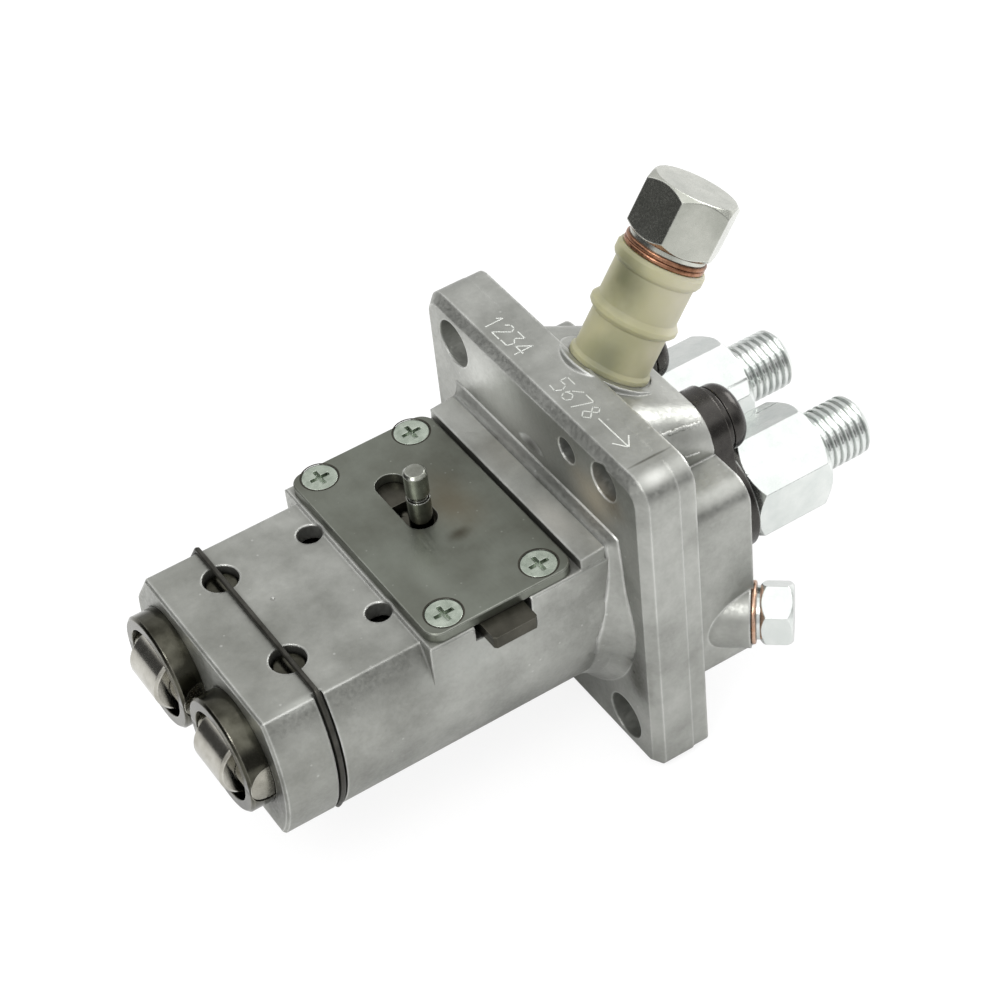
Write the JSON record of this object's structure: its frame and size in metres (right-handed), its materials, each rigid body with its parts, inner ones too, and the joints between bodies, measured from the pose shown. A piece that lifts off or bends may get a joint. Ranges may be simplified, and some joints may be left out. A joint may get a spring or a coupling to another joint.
{
  "type": "diesel injection pump",
  "caption": "Flange-mounted in-line fuel injection pump: roller tappets in a spigot, control rack with pin, clamped barrels with threaded delivery holders, slanted inlet and bleed screw.",
  "frame": {"origin": "centre of the flange face that meets the engine", "axes": "+X along the plungers towards the pipe outlets, +Z square to the cover plate, +Y across"},
  "size_m": [0.1396, 0.0736, 0.1009],
  "materials": {
    "cast_alloy": "as cast, satin",
    "plate_steel": "dull rolled steel",
    "rack_steel": "dark ground steel",
    "tappet_steel": "fine ground, oiled",
    "roller_steel": "ground",
    "bright_steel": "turned bright",
    "bright_zinc": "bright zinc plated",
    "screw_zinc": "pale zinc plated",
    "black_steel": "black oxide, glossy",
    "spring_wire": "dark drawn wire",
    "copper": "soft copper",
    "nylon": "turned, slightly see-through"
  },
  "bodies": {
    "pump": {"barrel_1": "black_steel", "barrel_2": "black_steel", "bleed_screw": "bright_zinc", "bleed_washer": "copper", "clamp_bolt_1": "black_steel", "clamp_bolt_2": "black_steel", "clamp_bolt_3": "black_steel", "clamp_bolt_4": "black_steel", "cover_plate": "plate_steel", "cover_screw_1": "screw_zinc", "cover_screw_2": "screw_zinc", "cover_screw_3": "screw_zinc", "cover_screw_4": "screw_zinc", "delivery_holder_1": "bright_zinc", "delivery_holder_2": "bright_zinc", "delivery_spring_1": "spring_wire", "delivery_spring_2": "spring_wire", "guide_pin_1": "bright_steel", "guide_pin_2": "bright_steel", "holder_gasket_1": "copper", "holder_gasket_2": "copper", "inlet_bolt": "bright_zinc", "inlet_sleeve": "nylon", "inlet_washer_1": "copper", "inlet_washer_2": "copper", "lock_washer_1": "black_steel", "lock_washer_2": "black_steel", "lock_washer_3": "black_steel", "lock_washer_4": "black_steel", "plunger_spring_1": "spring_wire", "plunger_spring_2": "spring_wire", "pump_body": "cast_alloy", "retaining_wire": "spring_wire", "upper_spring_seat_1": "rack_steel", "upper_spring_seat_2": "rack_steel", "valve_seat_1": "bright_steel", "valve_seat_2": "bright_steel"},
    "tappet_1": {"tappet_1": "tappet_steel", "roller_pin_1": "bright_steel", "adjusting_shim_1": "bright_steel", "lower_spring_seat_1": "rack_steel"},
    "roller_1": {"roller_1": "roller_steel"},
    "plunger_1": {"plunger_1": "bright_steel"},
    "control_sleeve_1": {"control_sleeve_1": "rack_steel"},
    "delivery_valve_1": {"delivery_valve_1": "bright_steel"},
    "tappet_2": {"tappet_2": "tappet_steel", "roller_pin_2": "bright_steel", "adjusting_shim_2": "bright_steel", "lower_spring_seat_2": "rack_steel"},
    "roller_2": {"roller_2": "roller_steel"},
    "plunger_2": {"plunger_2": "bright_steel"},
    "control_sleeve_2": {"control_sleeve_2": "rack_steel"},
    "delivery_valve_2": {"delivery_valve_2": "bright_steel"},
    "rack": {"control_rack": "rack_steel", "rack_pin": "bright_steel"}
  },
  "joints": [
    {"name": "tappet_slide_1", "type": "slide", "parent": "pump", "child": "tappet_1", "axis": [1, 0, 0], "range_m": [0, 0.008], "stiffness_N_per_m": 4000, "springref_m": -0.004, "deforming": ["plunger_spring_1"]},
    {"name": "roller_turn_1", "type": "hinge", "parent": "tappet_1", "child": "roller_1", "pos_m": [-0.0701, 0.012, 0], "axis": [0, 1, 0], "continuous": true},
    {"name": "plunger_turn_1", "type": "hinge", "parent": "tappet_1", "child": "plunger_1", "pos_m": [-0.0485, 0.012, 0], "axis": [1, 0, 0], "range_deg": [-50, 2.4]},
    {"name": "sleeve_turn_1", "type": "hinge", "parent": "pump", "child": "control_sleeve_1", "pos_m": [-0.0234, 0.012, 0], "axis": [1, 0, 0], "range_deg": [-50, 2.4]},
    {"name": "valve_lift_1", "type": "slide", "parent": "pump", "child": "delivery_valve_1", "axis": [1, 0, 0], "range_m": [0, 0.003], "stiffness_N_per_m": 2000, "springref_m": -0.002, "deforming": ["delivery_spring_1"]},
    {"name": "tappet_slide_2", "type": "slide", "parent": "pump", "child": "tappet_2", "axis": [1, 0, 0], "range_m": [0, 0.008], "stiffness_N_per_m": 4000, "springref_m": -0.004, "deforming": ["plunger_spring_2"]},
    {"name": "roller_turn_2", "type": "hinge", "parent": "tappet_2", "child": "roller_2", "pos_m": [-0.0701, -0.012, 0], "axis": [0, 1, 0], "continuous": true},
    {"name": "plunger_turn_2", "type": "hinge", "parent": "tappet_2", "child": "plunger_2", "pos_m": [-0.0485, -0.012, 0], "axis": [1, 0, 0], "range_deg": [-50, 2.4]},
    {"name": "sleeve_turn_2", "type": "hinge", "parent": "pump", "child": "control_sleeve_2", "pos_m": [-0.0234, -0.012, 0], "axis": [1, 0, 0], "range_deg": [-50, 2.4]},
    {"name": "valve_lift_2", "type": "slide", "parent": "pump", "child": "delivery_valve_2", "axis": [1, 0, 0], "range_m": [0, 0.003], "stiffness_N_per_m": 2000, "springref_m": -0.002, "deforming": ["delivery_spring_2"]},
    {"name": "rack_slide", "type": "slide", "parent": "pump", "child": "rack", "axis": [0, 1, 0], "range_m": [-0.0005, 0.0112]}
  ],
  "couplings": [
    {"joint": "sleeve_turn_1", "follows": "rack_slide", "rad_per_m": -77.614},
    {"joint": "plunger_turn_1", "follows": "rack_slide", "rad_per_m": -77.614},
    {"joint": "sleeve_turn_2", "follows": "rack_slide", "rad_per_m": -77.614},
    {"joint": "plunger_turn_2", "follows": "rack_slide", "rad_per_m": -77.614}
  ]
}
